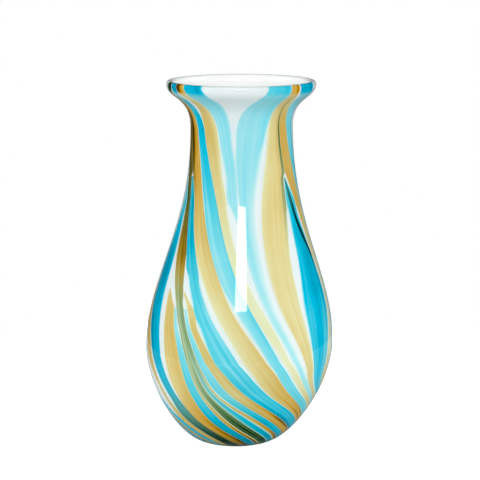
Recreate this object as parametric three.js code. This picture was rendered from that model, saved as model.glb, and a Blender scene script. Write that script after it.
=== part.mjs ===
// A hand-blown vase of cased art glass: an opal-white liner, coloured glass canes laid over it and drawn
// out into swirling stripes, and a clear casing that covers both and rolls over the lip.
// Millimetres, +Z up. The origin is on the ground, under the middle of the vase at its girth.
import * as THREE from "three";

// Outside of the vase. Heights add up from the ground: foot to girth, girth to neck, neck to lip.
const footRadius = 27;
const girthRadius = 77.5;
const neckRadius = 41.7;
const lipRadius = 60.8;
const girthHeight = 81;
const shoulderRise = 181.5;
const mouthRise = 37.5;
// How far each curve runs straight on before it bends.
const footPull = 19;
const underGirthPull = 35;
const overGirthPull = 57;
const underNeckPull = 84;
const overNeckPull = 25;
const underLipPull = 11.5;
// The hollow ground into the foot where the iron was cracked off.
const pontilRadius = 20;
const pontilDepth = 2;
// The neck leans a little off the foot, and straightens again at leanHeight.
const leanReach = 5.3;
const leanHeight = 225;

// Layers of the wall, from the outside in, and the thicker glass under the foot.
const casingWall = 1.8;
const casingBase = 4;
const caneThickness = 0.9;
const linerWall = 1.8;
const linerBase = 4;
const layerClearance = 0.4;

// Fineness of the solids.
const turnSteps = 40;
const lipSteps = 6;
const caneFacetDegrees = 10;
const ringsPerLevel = 3;
const tangentReach = 1e-4;

const neckHeight = girthHeight + shoulderRise;
const height = neckHeight + mouthRise;
const caneOuter = casingWall + layerClearance;
const caneInner = caneOuter + caneThickness;
const linerOuter = caneInner + layerClearance;
const wallThickness = linerOuter + linerWall;
const baseGrowth = casingBase - casingWall;
const linerBaseGrowth = baseGrowth + linerBase - linerWall;
const rollHeight = height - wallThickness / 2;
const layerTop = rollHeight - layerClearance;

const glass = {
  clear: { color: 0xf4fbfb, roughness: 0.05, metalness: 0, transparent: true, opacity: 0.3 },
  opal: { color: 0xe6eeee, roughness: 0.12, metalness: 0 },
  turquoise: { color: 0x1cb3c8, roughness: 0.1, metalness: 0 },
  amber: { color: 0xc9b06a, roughness: 0.1, metalness: 0 },
  olive: { color: 0x6d8a5c, roughness: 0.1, metalness: 0 },
};

const vector = (radius, z) => new THREE.Vector2(radius, z);

// The outside from the foot ring to the lip, as three curves that join smoothly.
const outline = [
  new THREE.CubicBezierCurve(
    vector(footRadius, 0),
    vector(footRadius + footPull, 0),
    vector(girthRadius, girthHeight - underGirthPull),
    vector(girthRadius, girthHeight),
  ),
  new THREE.CubicBezierCurve(
    vector(girthRadius, girthHeight),
    vector(girthRadius, girthHeight + overGirthPull),
    vector(neckRadius, neckHeight - underNeckPull),
    vector(neckRadius, neckHeight),
  ),
  new THREE.CubicBezierCurve(
    vector(neckRadius, neckHeight),
    vector(neckRadius, neckHeight + overNeckPull),
    vector(lipRadius, layerTop - underLipPull),
    vector(lipRadius, layerTop),
  ),
];

// Stations along the outside: 0 on the axis, 1 at the foot ring's edge, 2 at the girth, 3 at the neck and
// 4 at the lip.
const axisStation = 0;
const pontilEdge = 2 / 3;
const footStation = 1;
const girthStation = 2;
const lipStation = 4;

// A point under the foot: across the ground hollow, then along the flat ring that the vase stands on.
function undersidePoint(station) {
  if (station < pontilEdge) {
    const share = station / pontilEdge;
    return vector(pontilRadius * share, pontilDepth * (1 - share ** 2));
  }
  const share = (station - pontilEdge) / (footStation - pontilEdge);
  return vector(THREE.MathUtils.lerp(pontilRadius, footRadius, share), 0);
}

function outsidePoint(station) {
  if (station < footStation) return undersidePoint(station);
  const curve = Math.min(Math.floor(station - footStation), outline.length - 1);
  return outline[curve].getPoint(station - footStation - curve);
}

// A point on a layer of the wall: depth below the outside, and baseDepth more at the foot, where the glass
// is thickest.
function wallPoint(station, depth, baseDepth) {
  const before = outsidePoint(Math.max(station - tangentReach, axisStation));
  const after = outsidePoint(Math.min(station + tangentReach, lipStation));
  const inward = after.sub(before).normalize().rotateAround(vector(0, 0), Math.PI / 2);
  const thick = 1 - THREE.MathUtils.smoothstep(station, footStation, girthStation);
  const point = outsidePoint(station).addScaledVector(inward, depth + baseDepth * thick);
  if (station === axisStation) point.x = 0;
  return point;
}

// The levels where the canes' courses are given.
const levels = [1 / 3, 1, 1.25, 1.5, 1.75, 2, 2.25, 2.5, 2.75, 3, 3.5, 4];

// The rings that every layer is built on. A ring's place counts levels, so 5.5 is half way from level 5 to
// level 6.
const rings = levels.slice(1).flatMap((level, below) =>
  Array.from({ length: ringsPerLevel }, (_, i) => {
    const share = (i + 1) / ringsPerLevel;
    return { place: below + share, station: THREE.MathUtils.lerp(levels[below], level, share) };
  }),
);
rings.unshift({ place: 0, station: levels[0] });

// Glass is soft when it is drawn out: everything shifts sideways with its height, and stays put at the girth.
function lean(z) {
  const drift = (h) => leanReach * (1 - (1 - h / leanHeight) ** 2);
  return drift(z) - drift(girthHeight);
}

function leaned(geometry) {
  const position = geometry.attributes.position;
  for (let i = 0; i < position.count; i += 1) position.setX(i, position.getX(i) + lean(position.getZ(i)));
  geometry.computeVertexNormals();
  return geometry;
}

// A shell turned about the axis; its profile starts and ends there.
function turned(profile) {
  return leaned(new THREE.LatheGeometry(profile, turnSteps).rotateX(Math.PI / 2));
}

function layerLine(depth, baseDepth) {
  const stations = [axisStation, ...rings.map((ring) => ring.station)];
  return stations.map((station) => wallPoint(station, depth, baseDepth));
}

// The lip's roll, as round as the wall is thick, from the outside over the top to the inside.
function lipRoll() {
  const middle = vector(lipRadius - wallThickness / 2, rollHeight);
  const outerEnd = vector(lipRadius, rollHeight);
  return Array.from({ length: lipSteps + 1 }, (_, i) =>
    outerEnd.clone().rotateAround(middle, (Math.PI * i) / lipSteps),
  );
}

function casingGeometry() {
  const underRoll = vector(lipRadius - casingWall, rollHeight);
  const inside = layerLine(casingWall, baseGrowth).reverse();
  return turned([...layerLine(0, 0), ...lipRoll(), underRoll, ...inside]);
}

function linerGeometry() {
  const inside = layerLine(wallThickness, linerBaseGrowth).reverse();
  return turned([...layerLine(linerOuter, baseGrowth), ...inside]);
}

// Each cane of one rolling: its glass, the lowest level it is seen at, and its middle and width at that
// level and at each one above, in degrees round from the front. A cane that stops short is drawn to a point
// half a level on.
const heel = 2;
const canes = [
  { glass: "amber", from: heel, course: [[-25, 5], [-51, 5], [-63, 4], [-73, 8], [-84, 5]], point: -85 },
  {
    glass: "turquoise",
    from: heel,
    course: [[-11, 8], [-38, 9], [-52, 9], [-61.5, 11], [-71.5, 17], [-74, 17], [-75, 7]],
    point: -84,
  },
  { glass: "amber", from: heel, course: [[2, 9], [-26, 11], [-39, 12], [-45, 12], [-53, 8]], point: -57.5 },
  { glass: "turquoise", from: heel, course: [[13, 8], [-15, 8], [-29, 5.5], [-36, 4], [-47, 1.5]] },
  {
    glass: "olive",
    from: heel,
    course: [
      [34, 32], [4.5, 27], [-19, 12], [-29.5, 7], [-43, 5.5],
      [-55.5, 12], [-67, 6], [-82, 17], [-79, 9], [-72, 7],
    ],
  },
  { glass: "turquoise", from: heel, course: [[55, 7], [23.5, 6], [-8, 6.5], [-23, 4], [-38, 1.5]] },
  { glass: "amber", from: heel, course: [[66, 9], [33, 9], [0.5, 8.5], [-17.5, 5], [-34, 4]], point: -42 },
  {
    glass: "turquoise",
    from: heel,
    course: [[79, 11], [45.5, 12.5], [12.5, 13], [-7, 14], [-26, 10], [-43, 8.5], [-58, 5.5]],
    point: -66,
  },
  {
    glass: "amber",
    from: heel,
    course: [
      [92, 9], [58.5, 9], [27, 13], [9.5, 13.5], [-11, 12],
      [-30, 13.5], [-48.5, 11.5], [-66, 13], [-70, 5],
    ],
    point: -69,
  },
  {
    glass: "turquoise",
    from: heel,
    course: [
      [103, 7], [69, 8], [38.5, 7.5], [21.5, 7], [2, 9.5],
      [-16, 12.5], [-33.5, 14], [-52, 10], [-60, 11.5], [-63, 7],
    ],
  },
  {
    glass: "amber",
    from: heel,
    course: [
      [111, 5], [77, 5], [46.5, 5], [29.5, 5], [11.5, 7],
      [-5, 7], [-20.5, 9.5], [-37, 16], [-45, 9], [-54, 9],
    ],
  },
  { glass: "turquoise", from: 8, start: -3.5, course: [[-9, 9], [-19, 15], [-29, 20], [-39.5, 17.5]] },
  {
    glass: "turquoise",
    from: heel,
    course: [
      [117, 4], [83, 4], [52, 4], [36.5, 5], [20.5, 7],
      [10.5, 11.5], [6, 16], [11.5, 34.5], [22.5, 27], [31, 20],
    ],
  },
  {
    glass: "amber",
    from: heel,
    course: [
      [123, 4], [89, 4], [56.5, 3.5], [46, 7.5], [35, 15.5],
      [30.5, 22], [34, 28], [39, 15], [41.5, 8], [45.5, 6],
    ],
  },
  {
    glass: "turquoise",
    from: heel,
    course: [[131, 9], [98, 10], [65, 10], [60, 17.5], [60.5, 29], [61, 22.5], [56.5, 12.5]],
    point: 51.5,
  },
  {
    glass: "amber",
    from: heel,
    course: [
      [140, 5], [108, 6], [75, 7], [74, 6], [79.5, 5],
      [79, 8], [71.5, 12.5], [54, 12.5], [50, 4],
    ],
    point: 49.8,
  },
  {
    glass: "turquoise",
    from: heel,
    course: [
      [148, 7], [119, 9], [91, 12], [88, 17], [87, 6],
      [90, 10], [86, 11], [69, 15.5], [63, 18], [62, 20],
    ],
  },
];
// Under the foot every cane goes on turning by the same amounts, from the heel's level down.
const footTurn = 22;
const pontilTurn = 50;
const pointWidth = 1.2;
// The gather was rolled over the same canes twice, half a turn apart.
const rollings = { a: 0, b: 180 };

// A cane's middle and width at every ring it crosses, from the bottom up.
function caneCrossings({ from, course, start, point }) {
  const [middle, width] = course[0];
  const goesUnder = start === undefined;
  const below = goesUnder ? [[middle + pontilTurn, width], [middle + footTurn, width]] : [];
  const known = [...below, ...course];
  const curve = new THREE.SplineCurve(known.map(([m, w]) => vector(m, w)));
  const first = from - below.length;
  const last = first + known.length - 1;
  const crossed = rings.filter(({ place }) => place >= first && place <= last);
  const crossings = crossed.map(({ place, station }) => {
    const at = curve.getPoint((place - first) / (last - first));
    return { station, middle: at.x, width: at.y };
  });
  const ringUnder = rings.indexOf(crossed[0]) - 1;
  const ringOver = rings.indexOf(crossed.at(-1)) + 1;
  const pointAt = (ring, at) => ({ station: rings[ring].station, middle: at, width: pointWidth });
  if (!goesUnder) crossings.unshift(pointAt(ringUnder, start));
  if (point !== undefined) crossings.push(pointAt(ringOver, point));
  return crossings;
}

// Cuts the squares of a box's last face, the one that looks inward, along their short diagonal once they are
// slanted, so that no edge dips towards the liner.
function cutInnerFaceShort(geometry) {
  const corners = geometry.index.array;
  const { start, count } = geometry.groups.at(-1);
  for (let i = start; i < start + count; i += 6) {
    const [a, b, d, , c] = corners.slice(i, i + 6);
    corners.set([a, b, c, a, c, d], i);
  }
}

// A cane is a thin bar laid into the wall. It goes round the vase across, and up it along.
function caneGeometry(cane, turn) {
  const crossings = caneCrossings(cane);
  const along = crossings.length - 1;
  const across = Math.ceil(Math.max(...crossings.map((c) => c.width)) / caneFacetDegrees);
  const geometry = new THREE.BoxGeometry(1, 1, 1, across, along, 1);
  cutInnerFaceShort(geometry);
  const position = geometry.attributes.position;
  for (let i = 0; i < position.count; i += 1) {
    const { station, middle, width } = crossings[Math.round((position.getY(i) + 0.5) * along)];
    const depth = position.getZ(i) > 0 ? caneOuter : caneInner;
    const at = wallPoint(station, depth, baseGrowth);
    const angle = THREE.MathUtils.degToRad(turn + middle + position.getX(i) * width);
    position.setXYZ(i, at.x * Math.sin(angle), -at.x * Math.cos(angle), at.y);
  }
  return leaned(geometry);
}

const vase = new THREE.Group();

function addPiece(name, geometry, finish) {
  const piece = new THREE.Mesh(geometry, new THREE.MeshStandardMaterial(finish));
  piece.name = name;
  vase.add(piece);
}

addPiece("clear_casing", casingGeometry(), glass.clear);
addPiece("opal_liner", linerGeometry(), glass.opal);
for (const [rolling, turn] of Object.entries(rollings)) {
  const counts = {};
  for (const cane of canes) {
    counts[cane.glass] = (counts[cane.glass] ?? 0) + 1;
    const name = `${cane.glass}_cane_${counts[cane.glass]}${rolling}`;
    addPiece(name, caneGeometry(cane, turn), glass[cane.glass]);
  }
}

export default vase;
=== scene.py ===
"""Blown Glass Vase: the looks of a cased, striped glass vase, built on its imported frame."""

import math

import bpy
import numpy as np
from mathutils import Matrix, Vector


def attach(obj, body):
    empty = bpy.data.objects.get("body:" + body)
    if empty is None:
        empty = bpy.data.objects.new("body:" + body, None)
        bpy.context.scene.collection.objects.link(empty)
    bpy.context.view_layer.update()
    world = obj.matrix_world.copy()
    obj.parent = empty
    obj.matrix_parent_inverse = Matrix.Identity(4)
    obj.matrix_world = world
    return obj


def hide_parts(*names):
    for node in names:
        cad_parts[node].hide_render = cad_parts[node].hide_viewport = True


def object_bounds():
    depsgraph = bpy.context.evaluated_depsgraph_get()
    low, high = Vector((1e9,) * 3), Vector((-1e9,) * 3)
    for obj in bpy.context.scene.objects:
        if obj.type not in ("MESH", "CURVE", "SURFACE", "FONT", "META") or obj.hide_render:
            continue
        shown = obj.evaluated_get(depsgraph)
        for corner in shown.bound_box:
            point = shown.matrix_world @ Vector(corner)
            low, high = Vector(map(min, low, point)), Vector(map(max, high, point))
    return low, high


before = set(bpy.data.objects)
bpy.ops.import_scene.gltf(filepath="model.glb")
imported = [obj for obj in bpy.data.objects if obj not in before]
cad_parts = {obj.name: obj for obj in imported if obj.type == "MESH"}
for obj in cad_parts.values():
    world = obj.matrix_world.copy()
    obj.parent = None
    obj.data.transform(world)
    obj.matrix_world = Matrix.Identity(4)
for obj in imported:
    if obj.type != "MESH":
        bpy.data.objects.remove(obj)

bl_info = {
    "name": "Blown Glass Vase",
    "version": (1, 0, 0),
    "blender": (4, 5, 0),
    "location": "View3D > Sidebar > Vase",
    "description": "Builds a cased glass vase with swirling coloured canes, and the studio it stands in",
    "category": "Add Mesh",
}

CAD_BOX = [list(corner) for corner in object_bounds()]
HEIGHT = CAD_BOX[1][2] - CAD_BOX[0][2]
MIDDLE = (0, 0, HEIGHT / 2)
GIRTH_RADIUS = (CAD_BOX[1][0] - CAD_BOX[0][0]) / 2
CANE_NODES = sorted(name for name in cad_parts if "_cane_" in name)
MM = 0.001


# ---------------------------------------------------------------- settings


def size(name, description, default):
    return bpy.props.FloatProperty(
        name=name, description=description, default=default, min=0, unit="LENGTH", precision=4
    )


def colour(name, description, default):
    return bpy.props.FloatVectorProperty(
        name=name, description=description, default=default, size=3, min=0, max=1, subtype="COLOR"
    )


def share(name, description, default, most=1):
    return bpy.props.FloatProperty(
        name=name, description=description, default=default, min=0, max=most, subtype="FACTOR"
    )


class VaseSizes(bpy.types.PropertyGroup):
    """The outline of the vase and the layers of its wall"""

    foot_radius: size("Foot radius", "Outer radius of the ring that the vase stands on", 27 * MM)
    foot_pull: size("Foot pull", "How far the outline runs level before it climbs", 19 * MM)
    girth_radius: size("Girth radius", "Widest radius of the body", GIRTH_RADIUS)
    girth_height: size("Girth height", "Height of the widest place", 81 * MM)
    under_girth_pull: size("Pull under the girth", "How far the outline runs straight up to it", 35 * MM)
    over_girth_pull: size("Pull over the girth", "How far the outline runs straight up from it", 57 * MM)
    neck_radius: size("Neck radius", "Narrowest radius of the neck", 41.7 * MM)
    neck_drop: size("Neck drop", "How far the neck's narrowest place lies under the lip", 37.5 * MM)
    under_neck_pull: size("Pull under the neck", "How far the outline runs straight up to it", 84 * MM)
    over_neck_pull: size("Pull over the neck", "How far the outline runs straight up from it", 25 * MM)
    lip_radius: size("Lip radius", "Outer radius of the lip", 60.8 * MM)
    under_lip_pull: size("Pull under the lip", "How far the outline runs straight up to it", 11.5 * MM)
    pontil_radius: size("Pontil radius", "Radius of the hollow ground into the foot", 20 * MM)
    pontil_depth: size("Pontil depth", "Depth of that hollow", 2 * MM)
    lean_reach: size("Lean", "How far the neck drifts off the foot", 5.3 * MM)
    lean_height: size("Lean height", "Height where the neck has straightened again", 225 * MM)
    casing_wall: size("Casing over the canes", "Clear glass over the canes on the body", 1.0 * MM)
    casing_lip: size("Casing at the lip", "Clear glass over the canes on the lip", 0.5 * MM)
    base_growth: size("Thicker base", "Extra clear glass under the foot", 0.6 * MM)
    cane_thickness: size("Cane thickness", "Thickness of a coloured cane", 0.9 * MM)
    wall: size("Wall", "Whole wall from outside to inside", 5.3 * MM)
    inner_growth: size("Thicker bottom", "Extra glass in the whole wall at the bottom", 4.4 * MM)


class VaseColours(bpy.types.PropertyGroup):
    """The colours of the glass, each from thin to thick"""

    opal: colour("Opal", "The liner's white glass, as it shows through the casing", (0.71, 0.765, 0.775))
    inside: colour("Inside", "The bare white glass of the liner's inner face", (0.92, 0.925, 0.915))
    turquoise_1: colour("Turquoise, thinnest", "Turquoise drawn out thinnest", (0.44, 0.69, 0.71))
    turquoise_2: colour("Turquoise, thin", "Turquoise drawn thin", (0.26, 0.64, 0.71))
    turquoise_3: colour("Turquoise", "Turquoise at its usual thickness", (0.10, 0.54, 0.64))
    turquoise_4: colour("Turquoise, thick", "Turquoise in a thick cane", (0.006, 0.45, 0.63))
    turquoise_5: colour("Turquoise, thickest", "Turquoise where it gathers", (0.0, 0.27, 0.40))
    amber_1: colour("Amber, thinnest", "Amber drawn out thinnest", (0.66, 0.68, 0.46))
    amber_2: colour("Amber, thin", "Amber drawn thin", (0.64, 0.57, 0.29))
    amber_3: colour("Amber", "Amber at its usual thickness", (0.57, 0.44, 0.15))
    amber_4: colour("Amber, thick", "Amber in a thick cane", (0.58, 0.32, 0.03))
    amber_5: colour("Amber, thickest", "Amber where it gathers", (0.10, 0.045, 0.001))
    olive_1: colour("Olive, thinnest", "The mixed glass drawn out thinnest", (0.50, 0.60, 0.42))
    olive_2: colour("Olive, thin", "The mixed glass drawn thin", (0.34, 0.44, 0.27))
    olive_3: colour("Olive", "The mixed glass at its usual thickness", (0.20, 0.30, 0.14))
    olive_4: colour("Olive, thick", "The mixed glass in a thick cane", (0.075, 0.17, 0.065))
    olive_5: colour("Olive, thickest", "The mixed glass where it gathers", (0.018, 0.028, 0.008))
    # The foot colour is partly the thick glass's own tint and partly painted shade where the vase meets the
    # floor.
    foot: colour("Foot", "What the thick glass of the foot turns every colour towards", (0.10, 0.19, 0.20))
    clear: colour("Clear glass", "The casing", (1.0, 1.0, 1.0))
    floor: colour("Floor", "The studio floor", (0.9, 0.9, 0.9))


class VaseFinish(bpy.types.PropertyGroup):
    """How the surfaces are finished"""

    feather: size("Feathered edge", "How far a cane's edge fades into the opal glass", 1.6 * MM)
    spread: size("Spread", "How far a cane has spread past its core into the opal glass", 0.9 * MM)
    streaks: share("Streaks", "How much a cane's thickness varies along its threads", 0.6)
    # The foot's darkening is partly the thick glass there and partly painted shade where the vase stands.
    foot_shade: share("Foot shade", "How much the thick glass of the foot darkens the colours", 0.55)
    ripple: share("Ripple", "How much the hot glass has rippled", 0.05)
    gloss: share("Casing roughness", "Roughness of the fire-polished surface", 0.045)


# ---------------------------------------------------------------- the wall

# Stations along the outside: 0 on the axis, 1 at the foot ring's edge, 2 at the girth, 3 at the neck and 4
# at the lip. A skin goes on from there: 4 to 5 over the lip's roll, and 5 to 9 down the inside to the axis.
PONTIL_EDGE, FOOT, GIRTH, LIP = 2 / 3, 1, 2, 4
ROLL_END, SKIN_END = 5, 9
# From here on the skin turns into the liner's bare inner face.
INSIDE_FROM = LIP + 0.3
# The casing thins towards the lip from the first of these, and ends inside the mouth at the second.
THINNING, CASING_END = 3.55, 5.25
# How far the liner is sunk into the casing, so that no air is left between them.
BURIED = 0.2 * MM
# How far to each side of a station the outline's direction is measured.
DIRECTION_REACH = 1e-4
# In the frame's solids: the clearance between the layers of the wall, how deep the canes' outer faces lie,
# and how much deeper they lie under the foot.
LAYER_CLEARANCE = 0.4 * MM
FRAME_CANE_DEPTH = 2.2 * MM
FRAME_BASE_GROWTH = 2.2 * MM
# How finely the solids are turned, and how far apart the rings of their outlines are, in stations.
TURN_STEPS = 240
RING_STEP = 1 / 48


def mix(a, b, t):
    return a + (b - a) * t


def smooth(x, low, high):
    t = min(max((x - low) / (high - low), 0), 1)
    return t * t * (3 - 2 * t)


def bezier(points, t):
    a, b, c, d = points
    return a * (1 - t) ** 3 + b * (3 * t * (1 - t) ** 2) + c * (3 * t * t * (1 - t)) + d * t**3


class Wall:
    """The vase's outline and what lies under its skin, from the sizes."""

    def __init__(self, sizes):
        self.s = sizes
        self.roll_height = HEIGHT - sizes.wall / 2
        top = self.roll_height - LAYER_CLEARANCE
        neck_height = HEIGHT - sizes.neck_drop
        foot = Vector((sizes.foot_radius, 0))
        girth = Vector((sizes.girth_radius, sizes.girth_height))
        neck = Vector((sizes.neck_radius, neck_height))
        lip = Vector((sizes.lip_radius, top))
        up = Vector((0, 1))
        self.curves = (
            (foot, foot + Vector((sizes.foot_pull, 0)), girth - up * sizes.under_girth_pull, girth),
            (girth, girth + up * sizes.over_girth_pull, neck - up * sizes.under_neck_pull, neck),
            (neck, neck + up * sizes.over_neck_pull, lip - up * sizes.under_lip_pull, lip),
        )

    def outside(self, station):
        if station < PONTIL_EDGE:
            t = station / PONTIL_EDGE
            return Vector((self.s.pontil_radius * t, self.s.pontil_depth * (1 - t * t)))
        if station < FOOT:
            t = (station - PONTIL_EDGE) / (FOOT - PONTIL_EDGE)
            return Vector((mix(self.s.pontil_radius, self.s.foot_radius, t), 0))
        curve = min(int(station - FOOT), len(self.curves) - 1)
        return bezier(self.curves[curve], station - FOOT - curve)

    def inward(self, station):
        above, below = min(station + DIRECTION_REACH, LIP), max(station - DIRECTION_REACH, 0)
        ahead = self.outside(above) - self.outside(below)
        ahead.normalize()
        return Vector((-ahead.y, ahead.x))

    def thick(self, station):
        """1 under the foot, where the glass is thickest, and 0 from the girth up."""
        return 1 - smooth(station, FOOT, GIRTH)

    def under(self, station, depth, growth):
        """The point so far below the outside, and growth further under the foot."""
        point = self.outside(station) + self.inward(station) * (depth + growth * self.thick(station))
        if station == 0:
            point.x = 0
        return point

    def skin(self, at, depth=0.0):
        """The point on the whole skin, outside, roll and inside, or so far below it in the glass."""
        full = self.s.wall
        if at <= LIP:
            return self.under(at, depth, self.s.base_growth if depth else 0)
        if at < ROLL_END:
            angle = math.pi * (at - LIP)
            middle = Vector((self.s.lip_radius - full / 2, self.roll_height))
            return middle + Vector((math.cos(angle), math.sin(angle))) * (full / 2 - depth)
        return self.under(SKIN_END - at, full - depth, self.s.inner_growth)

    def cover(self, at):
        """How much clear glass lies over the canes and the liner: less at the lip, and none inside."""
        s = self.s
        if at >= CASING_END:
            return 0.0
        if at > ROLL_END:
            return s.casing_lip * (CASING_END - at) / (CASING_END - ROLL_END)
        return mix(s.casing_wall, s.casing_lip, smooth(at, THINNING, LIP))

    def lean(self, z):
        def drift(height):
            return self.s.lean_reach * (1 - (1 - height / self.s.lean_height) ** 2)

        return drift(z) - drift(self.s.girth_height)

    def place(self, point, azimuth):
        """A point of the outline turned to its azimuth, in degrees round from the front."""
        angle = math.radians(azimuth)
        x = point.x * math.sin(angle) + self.lean(point.y)
        return (x, -point.x * math.cos(angle), point.y)


def stations(first, last, step=RING_STEP):
    count = max(round((last - first) / step), 1)
    return [mix(first, last, i / count) for i in range(count + 1)]


# ---------------------------------------------------------------- meshes


def add_object(name, verts, faces, values=None):
    """A smooth-shaded mesh object, with a number of each name on every vertex."""
    mesh = bpy.data.meshes.new(name)
    mesh.from_pydata(verts, [], faces)
    for key, numbers in (values or {}).items():
        mesh.attributes.new(key, "FLOAT", "POINT").data.foreach_set("value", numbers)
    mesh.shade_smooth()
    mesh.update()
    piece = bpy.data.objects.new(name, mesh)
    bpy.context.scene.collection.objects.link(piece)
    return piece


def turn(name, wall, line, inside=None):
    """A solid turned from a line that starts and ends on the axis. inside says how far in each point is."""
    values = {}
    if inside is not None:
        turned = [near for near in inside[1:-1] for _ in range(TURN_STEPS)]
        values["glass_inside"] = [inside[0], *turned, inside[-1]]
    verts = [wall.place(line[0], 0)]
    for point in line[1:-1]:
        verts += [wall.place(point, 360 * i / TURN_STEPS) for i in range(TURN_STEPS)]
    verts.append(wall.place(line[-1], 0))
    faces = []
    last = len(verts) - 1
    top = last - TURN_STEPS
    for i in range(TURN_STEPS):
        j = (i + 1) % TURN_STEPS
        faces.append((0, 1 + j, 1 + i))
        faces.append((last, top + i, top + j))
        for ring in range(len(line) - 3):
            low = 1 + ring * TURN_STEPS
            high = low + TURN_STEPS
            faces.append((low + i, low + j, high + j, high + i))
    return add_object(name, verts, faces, values)


def casing_line(wall):
    outer = [wall.skin(at) for at in stations(0, CASING_END)]
    inner = [wall.skin(at, wall.cover(at) + 2 * BURIED) for at in stations(0, CASING_END)]
    return outer + inner[::-1]


def liner_line(wall):
    line = []
    for at in stations(0, SKIN_END):
        buried = BURIED if at < CASING_END else 0
        line.append(wall.skin(at, wall.cover(at) + buried))
    return line


# ---------------------------------------------------------------- canes

# The stations of the levels that a cane's course is set by, and how many rings of the frame's solids there
# are from each level to the next. A place on a course counts levels, from 0.
LEVELS = (1 / 3, 1, 1.25, 1.5, 1.75, 2, 2.25, 2.5, 2.75, 3, 3.5, 4)
TOP_LEVEL = len(LEVELS) - 1
RINGS_PER_LEVEL = 3
# A corner of a frame solid is on a ring if it is as near as this, and a course needs so many rings.
ON_RING = 0.03 * MM
SHORTEST_COURSE = 3


def frame_rings():
    """The rings of the frame's solids, as (place, station)."""
    rings = [(0, LEVELS[0])]
    for below, level in enumerate(LEVELS[1:]):
        for i in range(1, RINGS_PER_LEVEL + 1):
            share_up = i / RINGS_PER_LEVEL
            rings.append((below + share_up, mix(LEVELS[below], level, share_up)))
    return rings


def cane_course(wall, node):
    """Where a cane's frame solid crosses each ring: [place, station, left edge, right edge], in degrees."""
    corners = np.array([v.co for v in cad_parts[node].data.vertices])
    course = []
    for place, station in frame_rings():
        at = wall.under(station, FRAME_CANE_DEPTH, FRAME_BASE_GROWTH)
        x = corners[:, 0] - wall.lean(at.y)
        radius = np.hypot(x, corners[:, 1])
        near = (abs(corners[:, 2] - at.y) < ON_RING) & (abs(radius - at.x) < ON_RING)
        if not near.any():
            continue
        azimuth = np.degrees(np.arctan2(x[near], -corners[near, 1]))
        guess = (course[-1][2] + course[-1][3]) / 2 if course else azimuth[0]
        azimuth = guess + (azimuth - guess + 180) % 360 - 180
        course.append([place, station, azimuth.min(), azimuth.max()])
    if len(course) < SHORTEST_COURSE:
        raise RuntimeError(f"{node} doesn't follow the outline that the sizes give")
    return course


def spline(rows, place):
    """A smooth curve through rows of numbers, whose first number is the place."""
    i = max(sum(row[0] <= place for row in rows) - 1, 0)
    i = min(i, len(rows) - 2)
    near = [rows[min(max(k, 0), len(rows) - 1)] for k in range(i - 1, i + 3)]
    before, low, high, after = (np.array(row, float) for row in near)
    t = (place - low[0]) / (high[0] - low[0])
    a, b = (high - before) / 2, (after - low) / 2
    at = (2 * t**3 - 3 * t**2 + 1) * low + (t**3 - 2 * t**2 + t) * a
    return at + (3 * t**2 - 2 * t**3) * high + (t**3 - t**2) * b


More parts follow.
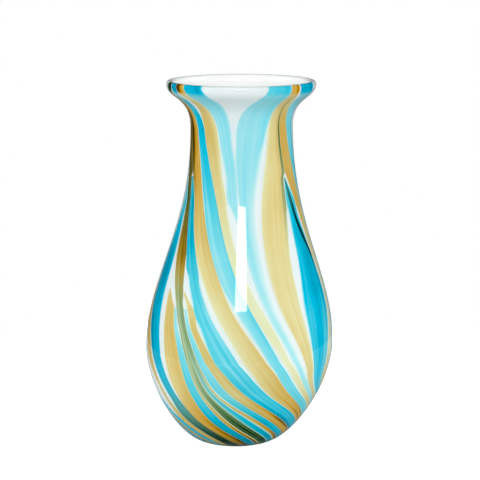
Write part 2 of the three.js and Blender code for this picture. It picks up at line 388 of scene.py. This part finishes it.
# How thick each cane's colour is on its way up, by place: 0 is none and 1.2 the thickest that it gets.
# Where a third number follows, it is how much more there is at the right edge, or, below 0, at the left.
CANE_COLOURS = {
    "amber_cane_1": ((2, 0.7), (3, 0.6), (4, 0.5), (5, 0.65), (6, 0.7)),
    "turquoise_cane_1": ((2, 0.8), (3, 0.52), (4, 0.75), (5, 0.9), (6, 0.95), (7, 0.95), (8, 0.7)),
    "amber_cane_2": ((2, 1.1), (3, 0.8), (4, 0.52), (5, 0.52), (6, 0.62)),
    "turquoise_cane_2": ((2, 1.15), (3, 0.92), (4, 0.62), (5, 0.5), (6, 0.4)),
    "olive_cane_1": (
        (2, 1.0), (3, 0.75), (4, 0.42), (5, 0.34), (6, 0.38), (7, 0.85), (8, 0.88), (9, 0.95),
        (10.6, 0.3), (10.85, 1.2),
    ),
    "turquoise_cane_3": ((2, 0.95), (3, 0.88), (4, 0.45), (5, 0.42), (6, 0.35)),
    "amber_cane_3": ((2, 0.9), (3, 0.85), (4, 0.45), (5, 0.5), (6, 0.5)),
    "turquoise_cane_4": (
        (2, 0.95), (3, 0.95), (4, 0.7, 0.1), (5, 0.53, 0.1), (6, 0.5), (7, 0.75), (8, 0.98),
    ),
    "amber_cane_4": (
        (2, 0.85), (3, 0.8), (4, 0.53, 0.15), (5, 0.38, 0.3), (6, 0.3, 0.3), (7, 0.42, 0.2),
        (8, 0.65, 0.1), (9, 0.98, -0.1), (10, 0.6),
    ),
    "turquoise_cane_5": (
        (2, 0.8), (3, 0.6), (4, 0.5), (5, 0.46, 0.1), (6, 0.4, 0.2), (7, 0.4, 0.2), (8, 0.56, 0.15),
        (9, 0.88, 0.1), (10, 0.55, 0.4), (10.35, 0.25), (10.6, 0.25), (10.8, 1.1), (11, 1.15),
    ),
    "amber_cane_5": (
        (2, 0.7), (3, 0.5), (4, 0.3), (5, 0.24), (6, 0.22), (7, 0.2), (8, 0.34), (9, 0.48), (10, 0.42),
        (10.35, 0.25), (10.6, 0.3), (10.8, 0.85, -0.3), (11, 0.9, -0.3),
    ),
    "turquoise_cane_6": (
        (7, 0.25), (8, 0.3), (9, 0.34), (10, 0.36), (10.35, 0.37), (10.6, 0.47), (10.8, 0.92), (11, 0.95),
    ),
    "turquoise_cane_7": (
        (2, 0.7), (3, 0.5), (4, 0.3), (5, 0.25), (6, 0.22), (7, 0.28), (8, 0.3), (9, 0.31), (10, 0.34),
        (10.6, 0.38), (10.8, 0.58), (11, 0.6),
    ),
    "amber_cane_6": (
        (2, 0.8), (3, 0.6), (4, 0.4), (5, 0.36), (6, 0.31), (7, 0.33), (8, 0.4), (9, 0.44, 0.1),
        (10, 0.5, 0.1), (10.6, 0.5), (10.8, 0.88), (11, 0.9),
    ),
    "turquoise_cane_8": (
        (2, 0.95), (3, 0.8), (4, 0.7), (5, 0.75), (6, 0.82, 0.1), (7, 0.93, 0.1), (8, 0.8),
    ),
    "amber_cane_7": (
        (2, 0.8), (3, 0.7), (4, 0.5), (5, 0.25), (6, 0.2), (7, 0.3), (8, 0.7), (9, 0.68), (10, 0.45),
    ),
    "turquoise_cane_9": (
        (2, 0.9), (3, 0.8), (4, 0.8), (5, 0.8), (6, 0.7), (7, 0.6), (8, 0.55), (9, 0.5), (10, 0.32),
        (10.35, 0.27), (10.6, 0.38), (10.8, 0.95), (11, 0.95),
    ),
}
# How much other glass has run into a cane on its way up: by place, how much, where its middle lies on the
# cane's width, from the left edge, -1, to the right edge, 1, and how far it reaches to each side. It is
# olive, and amber in the olive cane.
STAINS = {
    "turquoise_cane_1": (
        (2, 1.0, 0, 2), (3, 0.8, 0, 2), (3.5, 0.5, 0, 2), (4, 0.15, 0, 2), (5, 0.0, 0, 2),
    ),
    "turquoise_cane_4": ((6, 0.0, 0, 2), (8, 0.2, 0, 2)),
    "turquoise_cane_8": (
        (6.6, 0.0, 0.95, 0.05), (7, 0.9, 0.85, 0.1), (7.5, 1.0, 0.4, 0.15), (8, 0.8, 0.0, 0.25),
    ),
    "amber_cane_6": (
        (7, 0.0, 0.85, 0.1), (8, 0.7, 0.85, 0.1), (9, 1.0, 0.85, 0.1), (10, 0.5, 0.85, 0.1),
        (10.6, 0.0, 0.85, 0.1),
    ),
    "amber_cane_4": ((8, 0.0, -1, 0.6), (8.6, 0.7, -1, 0.6), (9.3, 0.9, -1, 0.6), (10, 0.2, -1, 0.5)),
    "olive_cane_1": (
        (6, 0.0, 0.3, 2), (6.7, 0.6, 0, 2), (7.2, 0.6, 0, 2), (8, 0.1, 1, 1), (9, 0.75, 0.4, 0.9),
        (10, 0.4, 0.6, 0.9), (10.6, 0.0, 0.6, 0.9),
    ),
}
NO_STAIN = ((0, 0.0, 0.0, 1.0),)
STAIN_EDGE = 0.15
# Canes whose edges fade further than the others': how many times as far, at the left and at the right.
SOFT_EDGES = {
    "turquoise_cane_7": (1.0, 4.5),
    "turquoise_cane_6": (2.0, 2.0),
    "turquoise_cane_5": (2.2, 1.2),
    "turquoise_cane_4": (2.0, 1.4),
    "turquoise_cane_8": (2.0, 1.0),
    "amber_cane_4": (1.6, 1.0),
    "amber_cane_5": (1.2, 1.8),
    "amber_cane_6": (1.2, 1.2),
}
NOT_SOFT = (1.0, 1.0)
# A cane's sections are so far apart up its course, and on the lip's roll, which it climbs so far. Each is
# cut into steps of about so many degrees, and into no fewer than these.
COURSE_STEP, ROLL_STEP, TOP_OF_ROLL = RING_STEP * 4, RING_STEP * 2, 0.42
ACROSS_STEP, FEWEST_ACROSS = 1.0, 8
# Each glass lies a little deeper than the last, and each odd cane than an even one, so that where two canes
# meet, one covers the other's feathered edge.
LAY = {"turquoise": 0.0, "amber": 0.05 * MM, "olive": 0.1 * MM}
ODD_LAY = 0.025 * MM
# A cane that stops short fades over so many levels towards its tip, to this share of its colour.
TIP_FADE, TIP_COLOUR = 0.8, 0.7
# Two canes run together where they are nearer than the first of these, and stand apart past the second.
# Where they have run together, each goes a little past the middle of the gap, and ends more sharply.
MEETING = (1.2 * MM, 3.0 * MM)
OVERLAP, CRISP = 0.15 * MM, 0.5 * MM
# Between these places the canes crowd less and less. Below them, they run together from this much further.
CROWDING, CROWDED = (2.3, 4.0), 2.2
# Canes that run together with their neighbours from further still, by place: how many times, left and right.
REACHES = {
    "turquoise_cane_1": ((2.6, 4, 1), (4, 1, 1)),
    "amber_cane_1": ((2.6, 1, 4), (4, 1, 1)),
    "amber_cane_6": ((7.8, 1, 1), (8.6, 1, 6)),
    "amber_cane_7": ((7.8, 1, 1), (8.6, 6, 1)),
    "olive_cane_1": ((7, 1, 1), (8, 2, 5)),
    "turquoise_cane_4": ((6.5, 1, 1), (7.5, 5, 5)),
    "amber_cane_4": ((7, 1, 1), (8, 5, 1)),
}
NO_REACH = ((0, 1, 1),)
# A gap of nearly a full turn, in degrees, is two edges that touch.
TOUCHING = 359
# Up to the first place the mixed cane is parted into threads. From the second on, they have run together.
PARTED, RUN_TOGETHER = 3.4, 5.6
# The numbers that a cane's glass reads on every vertex.
CANE_NUMBERS = (
    "cane_colour", "cane_fade", "cane_side", "cane_across", "cane_along", "cane_stain", "cane_parting",
)


def cane_sections(course):
    """Cross-sections up a cane: (at on the skin, place, left, right)."""
    first, last = course[0][0], course[-1][0]
    sections = []
    for place in stations(first, last, COURSE_STEP):
        _, at, left, right = spline(course, place)
        sections.append((at, place, left, right))
    if last == TOP_LEVEL:
        for at in stations(LIP, LIP + TOP_OF_ROLL, ROLL_STEP)[1:]:
            sections.append((at, TOP_LEVEL, sections[-1][2], sections[-1][3]))
    return sections


def along_rows(rows, place, columns):
    """The numbers of the rows at a place, straight between them and steady past their ends."""
    places = [row[0] for row in rows]
    return [
        float(np.interp(place, places, [row[i] if len(row) > i else 0.0 for row in rows]))
        for i in range(1, columns + 1)
    ]


def crossings(sections):
    """The edges of all the canes that cross each place."""
    rows = {}
    for lines in sections.values():
        for _, place, left, right in lines:
            rows.setdefault(round(place / RING_STEP), set()).add((left, right))
    return rows


def bare_beside(rows, place, left, right):
    """How far it is from a cane's edges to the next canes, on its left and on its right, in degrees."""
    others = rows[round(place / RING_STEP)] - {(left, right)}
    gaps = (
        [(left - other_right) % 360 for _, other_right in others],
        [(other_left - right) % 360 for other_left, _ in others],
    )
    return [min(0.0 if gap > TOUCHING else gap for gap in side) for side in gaps]


def cane_edges(kind, finish, place, bare):
    """How far a cane has spread past each edge, and how far it fades there, by the bare glass beside it."""
    crowd = mix(CROWDED, 1, smooth(place, *CROWDING))
    reaches = along_rows(REACHES.get(kind, NO_REACH), place, 2)
    apart = [smooth(gap / crowd / reach, *MEETING) for gap, reach in zip(bare, reaches)]
    spread = [mix(gap / 2 + OVERLAP, finish.spread, open_) for gap, open_ in zip(bare, apart)]
    soft = SOFT_EDGES.get(kind, NOT_SOFT)
    feather = [mix(CRISP, finish.feather * far, open_) for far, open_ in zip(soft, apart)]
    return spread, feather


def cane(node, wall, finish, sections, rows):
    """A cane inlaid in the wall, with its colour's thickness, its places and its fade on every vertex."""
    kind = node.rstrip("ab")
    lay = LAY[kind.split("_")[0]] + ODD_LAY * (int(kind[-1]) % 2)
    seed = float(CANE_NODES.index(node))
    tip = sections[-1][1] if sections[-1][1] < TOP_LEVEL else math.inf
    widths = [math.radians(right - left) * wall.skin(at).x for at, _, left, right in sections]
    usual_half = sum(widths) / len(widths) / 2
    widest = max(right - left for _, _, left, right in sections)
    across = max(round(widest / ACROSS_STEP), FEWEST_ACROSS)
    verts, numbers = [], []
    along, previous = seed, None
    for (at, place, left, right), width in zip(sections, widths):
        middle = wall.place(wall.skin(at), (left + right) / 2)
        along += math.dist(middle, previous or middle)
        previous = middle
        strength, bias = along_rows(CANE_COLOURS[kind], place, 2)
        if place > tip - TIP_FADE:
            strength *= mix(1, TIP_COLOUR, (place - tip + TIP_FADE) / TIP_FADE)
        stain, stain_middle, stain_reach = along_rows(STAINS.get(kind, NO_STAIN), place, 3)
        parting = 1 - smooth(place, PARTED, RUN_TOGETHER)
        radius = wall.skin(at).x
        bare = [math.radians(gap) * radius for gap in bare_beside(rows, place, left, right)]
        spread, feather = cane_edges(kind, finish, place, bare)
        whole = width + sum(spread)
        start = left - math.degrees(spread[0] / radius)
        end = right + math.degrees(spread[1] / radius)
        for depth in (wall.cover(at) + lay, wall.cover(at) + wall.s.cane_thickness):
            point = wall.skin(at, depth)
            for i in range(across + 1):
                side = 2 * i / across - 1
                verts.append(wall.place(point, mix(start, end, i / across)))
                fade_left = (1 + side) / 2 * whole / min(feather[0], whole / 2)
                fade_right = (1 - side) / 2 * whole / min(feather[1], whole / 2)
                stained = 1 - smooth(abs(side - stain_middle), stain_reach, stain_reach + STAIN_EDGE)
                numbers.append((
                    strength * (1 + bias * side),
                    min(fade_left, fade_right),
                    (1 + side) / 2,
                    side * usual_half + seed,
                    along,
                    stain * stained,
                    parting,
                ))
    values = dict(zip(CANE_NUMBERS, zip(*numbers)))
    return add_object(f"{node}_glass", verts, cane_faces(len(sections), across), values)


def cane_faces(rows, across):
    """The faces of a bar whose every section is an outer row and an inner row of vertices."""
    width = across + 1
    faces = []
    for row in range(rows - 1):
        low = row * 2 * width
        high = low + 2 * width
        for i in range(across):
            faces.append((low + i, low + i + 1, high + i + 1, high + i))
            inner, over = low + width, high + width
            faces.append((inner + i + 1, inner + i, over + i, over + i + 1))
        faces.append((low + across, low + width + across, high + width + across, high + across))
        faces.append((low + width, low, high, high + width))
    top = (rows - 1) * 2 * width
    for i in range(across):
        faces.append((i + 1, i, width + i, width + i + 1))
        faces.append((top + i, top + i + 1, top + width + i + 1, top + width + i))
    return faces


# ---------------------------------------------------------------- materials

NOISE_DETAIL, NOISE_ROUGHNESS, NOISE_MIDDLE = 3.0, 0.55, 0.5
GLASS_IOR = 1.5
# How rough the coloured glass is under the casing, and the liner's bare face inside the vase.
COVERED_ROUGHNESS, BARE_ROUGHNESS = 0.45, 0.12


class Socket:
    """A node's output in a recipe. Maths on it adds Math nodes."""

    def __init__(self, recipe, output):
        self.recipe, self.output = recipe, output

    def maths(self, operation, a, b):
        made = self.recipe.node("ShaderNodeMath", {"operation": operation}, {0: a, 1: b})
        return Socket(self.recipe, made.outputs[0])

    def __add__(self, other):
        return self.maths("ADD", self, other)

    __radd__ = __add__

    def __sub__(self, other):
        return self.maths("SUBTRACT", self, other)

    def __rsub__(self, other):
        return self.maths("SUBTRACT", other, self)

    def __mul__(self, other):
        return self.maths("MULTIPLY", self, other)

    __rmul__ = __mul__

    def __truediv__(self, other):
        return self.maths("DIVIDE", self, other)

    def __rtruediv__(self, other):
        return self.maths("DIVIDE", other, self)

    def least(self, other):
        return self.maths("MINIMUM", self, other)


class Recipe:
    """A material or a world, built node by node."""

    def __init__(self, owner):
        self.owner = owner
        owner.use_nodes = True
        self.tree = owner.node_tree
        self.tree.nodes.clear()

    def node(self, kind, settings=None, sockets=None):
        """A node of a kind, with its settings, and then the values or links of its sockets."""
        made = self.tree.nodes.new(kind)
        for key, value in (settings or {}).items():
            if key == "stops":
                self.set_stops(made.color_ramp, value)
            else:
                setattr(made, key, value)
        for key, value in (sockets or {}).items():
            if isinstance(value, Socket):
                self.tree.links.new(value.output, made.inputs[key])
            elif isinstance(value, bpy.types.NodeSocket):
                self.tree.links.new(value, made.inputs[key])
            else:
                made.inputs[key].default_value = value
        return made

    @staticmethod
    def set_stops(ramp, stops):
        while len(ramp.elements) < len(stops):
            ramp.elements.new(1)
        for element, (position, shade) in zip(ramp.elements, stops):
            element.position = position
            element.color = (*shade, 1)

    def number(self, attribute):
        made = self.node("ShaderNodeAttribute", {"attribute_name": attribute})
        return Socket(self, made.outputs["Fac"])

    def ramp(self, factor, stops):
        made = self.node("ShaderNodeValToRGB", {"stops": stops}, {"Fac": factor})
        return Socket(self, made.outputs["Color"])

    def blend(self, a, b, factor):
        """A mix of two colours. A Mix node has several sockets of each name, so they go by number."""
        made = self.node("ShaderNodeMix", {"data_type": "RGBA"}, {0: factor, 6: a, 7: b})
        return Socket(self, made.outputs[2])

    def vector(self, x, y, z=0.0):
        made = self.node("ShaderNodeCombineXYZ", None, {0: x, 1: y, 2: z})
        return Socket(self, made.outputs[0])

    def noise(self, at, scale, detail=NOISE_DETAIL):
        sockets = {"Vector": at, "Scale": scale, "Detail": detail, "Roughness": NOISE_ROUGHNESS}
        return Socket(self, self.node("ShaderNodeTexNoise", None, sockets).outputs["Fac"])

    def where(self):
        """The place in the vase, in metres."""
        return self.node("ShaderNodeTexCoord").outputs["Object"]

    def mirrored(self):
        """1 for what is seen mirrored in gloss, and 0 for what is seen or lit in any other way."""
        path = self.node("ShaderNodeLightPath").outputs
        return Socket(self, path["Is Glossy Ray"]) * Socket(self, path["Is Reflection Ray"])

    def finish(self, shader):
        """Sends a shader to the output, and gives back the material or world."""
        owner_is_world = isinstance(self.owner, bpy.types.World)
        kind = "ShaderNodeOutputWorld" if owner_is_world else "ShaderNodeOutputMaterial"
        self.node(kind, None, {"Surface": shader})
        return self.owner


def rgb(shade):
    return (*shade, 1.0)


def dimmed(shade, left):
    return rgb([part * left for part in shade])


def vase_colours():
    return bpy.context.scene.vase_colours


def vase_finish():
    return bpy.context.scene.vase_finish


def principled(recipe, sockets):
    return recipe.node("ShaderNodeBsdfPrincipled", None, sockets).outputs[0]


def mix_shaders(recipe, factor, first, second):
    return recipe.node("ShaderNodeMixShader", None, {0: factor, 1: first, 2: second}).outputs[0]


def solid_glass(recipe, shade):
    """Glass that shows its colour from within, under the casing's own gloss."""
    sockets = {"Base Color": shade, "Roughness": COVERED_ROUGHNESS, "Specular IOR Level": 0.0}
    return principled(recipe, sockets)


# Where each step of a glass's ramp, from thin to thick, stands on the scale of a cane's colour.
RAMP_PLACES = (0.2, 0.36, 0.56, 0.84, 1.15)
THICKEST = 1.25


def glass_ramp(recipe, glass, thickness):
    """The colour of a glass by its thickness, from none, where the opal glass shows, to the thickest."""
    shades = vase_colours()
    steps = [list(getattr(shades, f"{glass}_{i}")) for i in range(1, len(RAMP_PLACES) + 1)]
    stops = [(0.0, list(shades.opal))]
    stops += [(place / THICKEST, shade) for place, shade in zip(RAMP_PLACES, steps)]
    return recipe.ramp(thickness / THICKEST, stops)


# The mixed cane's threads from its left edge to its right: where amber and turquoise lie beside the olive,
# and where the opal glass shows between them.
AMBER_THREADS = ((0, 1), (0.15, 1), (0.17, 0), (0.82, 0), (0.84, 1))
TURQUOISE_THREADS = ((0.0, 0), (0.52, 0), (0.55, 1), (0.79, 1), (0.82, 0))
OPAL_GAPS = (
    (0.12, 1), (0.16, 0.15), (0.2, 0.9), (0.46, 1), (0.52, 0.3), (0.57, 1), (0.76, 1), (0.81, 0.1),
    (0.86, 1),
)


def grey_ramp(recipe, factor, stops):
    return recipe.ramp(factor, [(place, [level] * 3) for place, level in stops])


# The height at which the foot begins to take colours over, and the height where it has done so in full.
# The darkening there is partly the thick glass of the foot and partly painted shade where the vase meets the
# floor.
FOOT_SHADE_FROM, FOOT_SHADE_FULL = 10 * MM, 1 * MM


def foot_shaded(recipe, shade):
    """Every colour turns towards the foot's own at the very bottom: partly thick glass, partly painted
    shade.
    """
    height = recipe.node("ShaderNodeSeparateXYZ", None, {0: recipe.where()}).outputs["Z"]
    low = recipe.node(
        "ShaderNodeMapRange",
        {"interpolation_type": "SMOOTHSTEP"},
        {
            "Value": height,
            "From Min": FOOT_SHADE_FROM,
            "From Max": FOOT_SHADE_FULL,
            "To Max": vase_finish().foot_shade,
        },
    )
    return recipe.blend(shade, rgb(vase_colours().foot), low.outputs[0])


# The unevenness of a cane's glass, in three scales: how often it comes across the cane and along it, to the
# metre, which part of the noise it is, and how much it counts.
THREADS, FINE_THREADS, DRIFT = (330, 4, 0.0), (1700, 8, 3.0), (70, 30, 7.0)
THREADS_COUNT, FINE_COUNT, DRIFT_COUNT = 2.2, 0.8, 0.7
# How far the mixed cane's threads stray, as a share of its width, how much its fine threads darken the
# olive, and how thick its amber and its turquoise are beside the olive.
STRAY = 0.05
DARK_FROM, DARKENING = 0.45, 2.6
AMBER_SHARE, TURQUOISE_SHARE = 1.05, 1.1
# What has run in follows the threads in the mixed cane, and the fine ones in the others: at least the first
# of these, and as much more as the second. In the others it also makes the glass thicker.
RUN_THREADS, RUN_FINE = (0.4, 1.2), (0.7, 0.6)
RUN_THICKNESS = 0.45


def mixed_shade(recipe, thickness, threads, fine):
    """The olive cane's colour: parted into threads of three glasses, or run together and stained."""
    parting = recipe.number("cane_parting")
    fray = recipe.number("cane_side") + (threads - NOISE_MIDDLE) * STRAY
    thickness = thickness * (1 - parting * (1 - grey_ramp(recipe, fray, OPAL_GAPS)))
    shade = glass_ramp(recipe, "olive", thickness * (1 + (fine - DARK_FROM) * DARKENING))
    amber = glass_ramp(recipe, "amber", thickness * AMBER_SHARE)
    turquoise = glass_ramp(recipe, "turquoise", thickness * TURQUOISE_SHARE)
    shade = recipe.blend(shade, amber, parting * grey_ramp(recipe, fray, AMBER_THREADS))
    shade = recipe.blend(shade, turquoise, parting * grey_ramp(recipe, fray, TURQUOISE_THREADS))
    least, more = RUN_THREADS
    stain = recipe.number("cane_stain") * (least + more * threads)
    return recipe.blend(shade, amber, stain.least(1.0))


def plain_shade(recipe, glass, thickness, fine):
    """The colour of a cane of one glass, stained with olive."""
    least, more = RUN_FINE
    stain = recipe.number("cane_stain") * (least + more * fine)
    olive = glass_ramp(recipe, "olive", thickness + stain * RUN_THICKNESS)
    return recipe.blend(glass_ramp(recipe, glass, thickness), olive, stain.least(1.0))


def cane_glass(glass):
    """A cane's glass: its colour follows its thickness, which varies in threads and fades at the edges."""
    recipe = Recipe(bpy.data.materials.new(f"{glass}_glass"))
    across, along = recipe.number("cane_across"), recipe.number("cane_along")

    def uneven(often_across, often_along, part):
        return recipe.noise(recipe.vector(across * often_across, along * often_along, part), 1.0)

    threads, fine, drift = uneven(*THREADS), uneven(*FINE_THREADS), uneven(*DRIFT)
    coarse = (threads - NOISE_MIDDLE) * THREADS_COUNT + (fine - NOISE_MIDDLE) * FINE_COUNT
    varied = 1 + vase_finish().streaks * (coarse + (drift - NOISE_MIDDLE) * DRIFT_COUNT)
    fade = recipe.number("cane_fade").least(1.0)
    fade = fade * fade * (3 - 2 * fade)
    thickness = recipe.number("cane_colour") * varied * fade
    if glass == "olive":
        shade = mixed_shade(recipe, thickness, threads, fine)
    else:
        shade = plain_shade(recipe, glass, thickness, fine)
    # The colour darkens at the bottom, partly for the thick glass and partly as painted shade.
    return recipe.finish(solid_glass(recipe, foot_shaded(recipe, shade)))


# How tight the liner's clouds are, and how much colour they leave, under the casing and on the bare face.
CLOUD_SCALE, COVERED_LEFT, BARE_LEFT = 22.0, 0.95, 0.96


def opal_glass():
    """The liner's white glass: tinted where the casing covers it, bare and glossy inside the vase."""
    recipe = Recipe(bpy.data.materials.new("opal_glass"))
    opal, inside = vase_colours().opal, vase_colours().inside
    cloud = recipe.noise(recipe.where(), CLOUD_SCALE)
    covered = recipe.blend(rgb(opal), dimmed(opal, COVERED_LEFT), cloud)
    bare = recipe.blend(rgb(inside), dimmed(inside, BARE_LEFT), cloud)
    # The opal darkens at the bottom too, partly for the thick glass and partly as painted shade.
    under_casing = solid_glass(recipe, foot_shaded(recipe, covered))
    open_face = principled(recipe, {"Base Color": bare, "Roughness": BARE_ROUGHNESS, "IOR": GLASS_IOR})
    return recipe.finish(mix_shaders(recipe, recipe.number("glass_inside"), under_casing, open_face))


# How tight the casing's ripples are, how rough in themselves, and how deep.
RIPPLE_SCALE, RIPPLE_DETAIL, RIPPLE_DEPTH = 28.0, 1.0, 2 * MM


def clear_glass():
    """The casing's clear glass, gently rippled. It casts no shadow on what it covers."""
    recipe = Recipe(bpy.data.materials.new("clear_glass"))
    ripple = recipe.noise(recipe.where(), RIPPLE_SCALE, RIPPLE_DETAIL)
    bump = recipe.node(
        "ShaderNodeBump",
        None,
        {"Strength": vase_finish().ripple, "Distance": RIPPLE_DEPTH, "Height": ripple},
    )
    glass = principled(
        recipe,
        {
            "Base Color": rgb(vase_colours().clear),
            "Roughness": vase_finish().gloss,
            "IOR": GLASS_IOR,
            "Transmission Weight": 1.0,
            "Normal": bump.outputs[0],
        },
    )
    clear = recipe.node("ShaderNodeBsdfTransparent").outputs[0]
    shadow = recipe.node("ShaderNodeLightPath").outputs["Is Shadow Ray"]
    return recipe.finish(mix_shaders(recipe, shadow, glass, clear))


# ---------------------------------------------------------------- studio

FLOOR_RADIUS, FLOOR_SIDES = 0.45, 96
# The floor's own glow, what the vase's gloss mirrors of it, its roughness, and its grain.
FLOOR_GLOW, FLOOR_MIRRORED, FLOOR_ROUGHNESS = 0.75, 0.4, 0.6
GRAIN_SCALE, GRAIN_LEFT = 60.0, 0.985
# How bright the sky is to the camera, as light on the vase, and mirrored in its gloss.
SKY_SEEN, SKY_LIGHT, SKY_MIRRORED = 1.0, 0.64, 0.12
# The lamps: name, place, width, height and power, and whether the vase's gloss mirrors them.
LAMPS = (
    ("front_softbox", (0.01, -2.4, 1.16), 0.67, 0.6, 21, True),
    ("top_softbox", (0.0, -0.2, 1.9), 1.2, 1.2, 2.5, True),
    ("left_fill", (-1.6, -0.3, 0.5), 0.9, 0.9, 8.5, False),
    ("right_fill", (1.6, -0.3, 0.5), 0.9, 0.9, 8.5, False),
)
# The camera's place, its lens in millimetres, how far its frame is shifted, and the light that is black.
CAMERA_PLACE = (0, -1.5, 0.4339)
LENS = 138.5
FRAME_SHIFT = (0.0017, 0.045)
BLACK_LEVEL = (0.03, 0.025, 0.025)


def floor_paint():
    """A pale floor, burnt out to white, of which the vase's gloss mirrors little."""
    recipe = Recipe(bpy.data.materials.new("floor_paint"))
    shade = vase_colours().floor
    grain = recipe.noise(recipe.where(), GRAIN_SCALE)
    tint = recipe.blend(rgb(shade), dimmed(shade, GRAIN_LEFT), grain)
    paint = principled(recipe, {"Base Color": tint, "Roughness": FLOOR_ROUGHNESS})
    glow = recipe.node("ShaderNodeEmission", None, {"Strength": FLOOR_GLOW}).outputs[0]
    burnt = recipe.node("ShaderNodeAddShader", None, {0: paint, 1: glow}).outputs[0]
    dull = principled(recipe, {"Base Color": rgb([FLOOR_MIRRORED] * 3), "Roughness": FLOOR_ROUGHNESS})
    return recipe.finish(mix_shaders(recipe, recipe.mirrored(), burnt, dull))


def studio_sky():
    """White behind the vase, soft light all round it, and little for its gloss to mirror."""
    recipe = Recipe(bpy.data.worlds.new("studio"))
    seen = Socket(recipe, recipe.node("ShaderNodeLightPath").outputs["Is Camera Ray"])
    strength = SKY_LIGHT + seen * (SKY_SEEN - SKY_LIGHT) - recipe.mirrored() * (SKY_LIGHT - SKY_MIRRORED)
    sky = recipe.node("ShaderNodeBackground", None, {"Color": rgb((1, 1, 1)), "Strength": strength})
    return recipe.finish(sky.outputs[0])


def look_at(thing, target):
    direction = Vector(target) - thing.location
    thing.rotation_euler = direction.to_track_quat("-Z", "Y").to_euler()


def add_lamp(name, where, width, tall, power, mirrored):
    data = bpy.data.lights.new(name, "AREA")
    data.shape = "RECTANGLE"
    data.size, data.size_y = width, tall
    data.energy = power
    lamp = bpy.data.objects.new(name, data)
    bpy.context.scene.collection.objects.link(lamp)
    lamp.location = where
    look_at(lamp, MIDDLE)
    lamp.visible_glossy = mirrored


def add_camera(scene):
    data = bpy.data.cameras.new("camera")
    data.lens = LENS
    data.shift_x, data.shift_y = FRAME_SHIFT
    camera = bpy.data.objects.new("camera", data)
    scene.collection.objects.link(camera)
    camera.location = CAMERA_PLACE
    look_at(camera, MIDDLE)
    scene.camera = camera


# ---------------------------------------------------------------- operators


def settle(piece, node, material):
    """The piece stands for its frame node, rides on the vase's body and takes its finish."""
    piece.data.materials.append(material)
    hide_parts(node)
    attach(piece, "root")


class VASE_OT_casing(bpy.types.Operator):
    """Builds the clear casing, which rolls over the lip"""

    bl_idname = "vase.casing"
    bl_label = "Clear casing"

    def execute(self, context):
        wall = Wall(context.scene.vase_sizes)
        casing = turn("casing_glass", wall, casing_line(wall))
        settle(casing, "clear_casing", clear_glass())
        return {"FINISHED"}


class VASE_OT_liner(bpy.types.Operator):
    """Builds the opal white liner"""

    bl_idname = "vase.liner"
    bl_label = "Opal liner"

    def execute(self, context):
        wall = Wall(context.scene.vase_sizes)
        inside = [smooth(at, INSIDE_FROM, ROLL_END) for at in stations(0, SKIN_END)]
        liner = turn("liner_glass", wall, liner_line(wall), inside)
        settle(liner, "opal_liner", opal_glass())
        return {"FINISHED"}


class VASE_OT_canes(bpy.types.Operator):
    """Lays the coloured canes into the wall"""

    bl_idname = "vase.canes"
    bl_label = "Coloured canes"

    def execute(self, context):
        wall = Wall(context.scene.vase_sizes)
        glasses = {glass: cane_glass(glass) for glass in LAY}
        sections = {node: cane_sections(cane_course(wall, node)) for node in CANE_NODES}
        rows = crossings(sections)
        for node in CANE_NODES:
            glass = node.split("_")[0]
            piece = cane(node, wall, vase_finish(), sections[node], rows)
            settle(piece, node, glasses[glass])
        return {"FINISHED"}


class VASE_OT_stage(bpy.types.Operator):
    """Sets the pale floor, the soft lights and the camera"""

    bl_idname = "vase.stage"
    bl_label = "Stage"

    def execute(self, context):
        scene = context.scene
        angles = [2 * math.pi * i / FLOOR_SIDES for i in range(FLOOR_SIDES)]
        edge = [(FLOOR_RADIUS * math.cos(angle), FLOOR_RADIUS * math.sin(angle), 0) for angle in angles]
        floor = add_object("floor", edge, [tuple(range(FLOOR_SIDES))])
        floor.data.materials.append(floor_paint())
        for lamp in LAMPS:
            add_lamp(*lamp)
        add_camera(scene)
        scene.view_settings.view_transform = "Standard"
        scene.view_settings.use_curve_mapping = True
        scene.view_settings.curve_mapping.black_level = BLACK_LEVEL
        scene.view_settings.curve_mapping.update()
        scene.world = studio_sky()
        return {"FINISHED"}


class VASE_PT_panel(bpy.types.Panel):
    """The vase's settings and the steps that build it"""

    bl_idname = "VASE_PT_panel"
    bl_label = "Blown Glass Vase"
    bl_space_type = "VIEW_3D"
    bl_region_type = "UI"
    bl_category = "Vase"

    def draw(self, context):
        for step in STEPS:
            self.layout.operator(step.bl_idname)
        for group in (context.scene.vase_sizes, context.scene.vase_colours, context.scene.vase_finish):
            box = self.layout.box()
            for key in group.bl_rna.properties.keys():
                if key not in {"rna_type", "name"}:
                    box.prop(group, key)


STEPS = (VASE_OT_casing, VASE_OT_liner, VASE_OT_canes, VASE_OT_stage)
CLASSES = (VaseSizes, VaseColours, VaseFinish, *STEPS, VASE_PT_panel)


def register():
    for cls in CLASSES:
        bpy.utils.register_class(cls)
    bpy.types.Scene.vase_sizes = bpy.props.PointerProperty(type=VaseSizes)
    bpy.types.Scene.vase_colours = bpy.props.PointerProperty(type=VaseColours)
    bpy.types.Scene.vase_finish = bpy.props.PointerProperty(type=VaseFinish)


def unregister():
    del bpy.types.Scene.vase_finish
    del bpy.types.Scene.vase_colours
    del bpy.types.Scene.vase_sizes
    for cls in reversed(CLASSES):
        bpy.utils.unregister_class(cls)


def main():
    register()
    bpy.ops.vase.casing()
    bpy.ops.vase.liner()
    bpy.ops.vase.canes()
    bpy.ops.vase.stage()


if __name__ == "__main__":
    main()
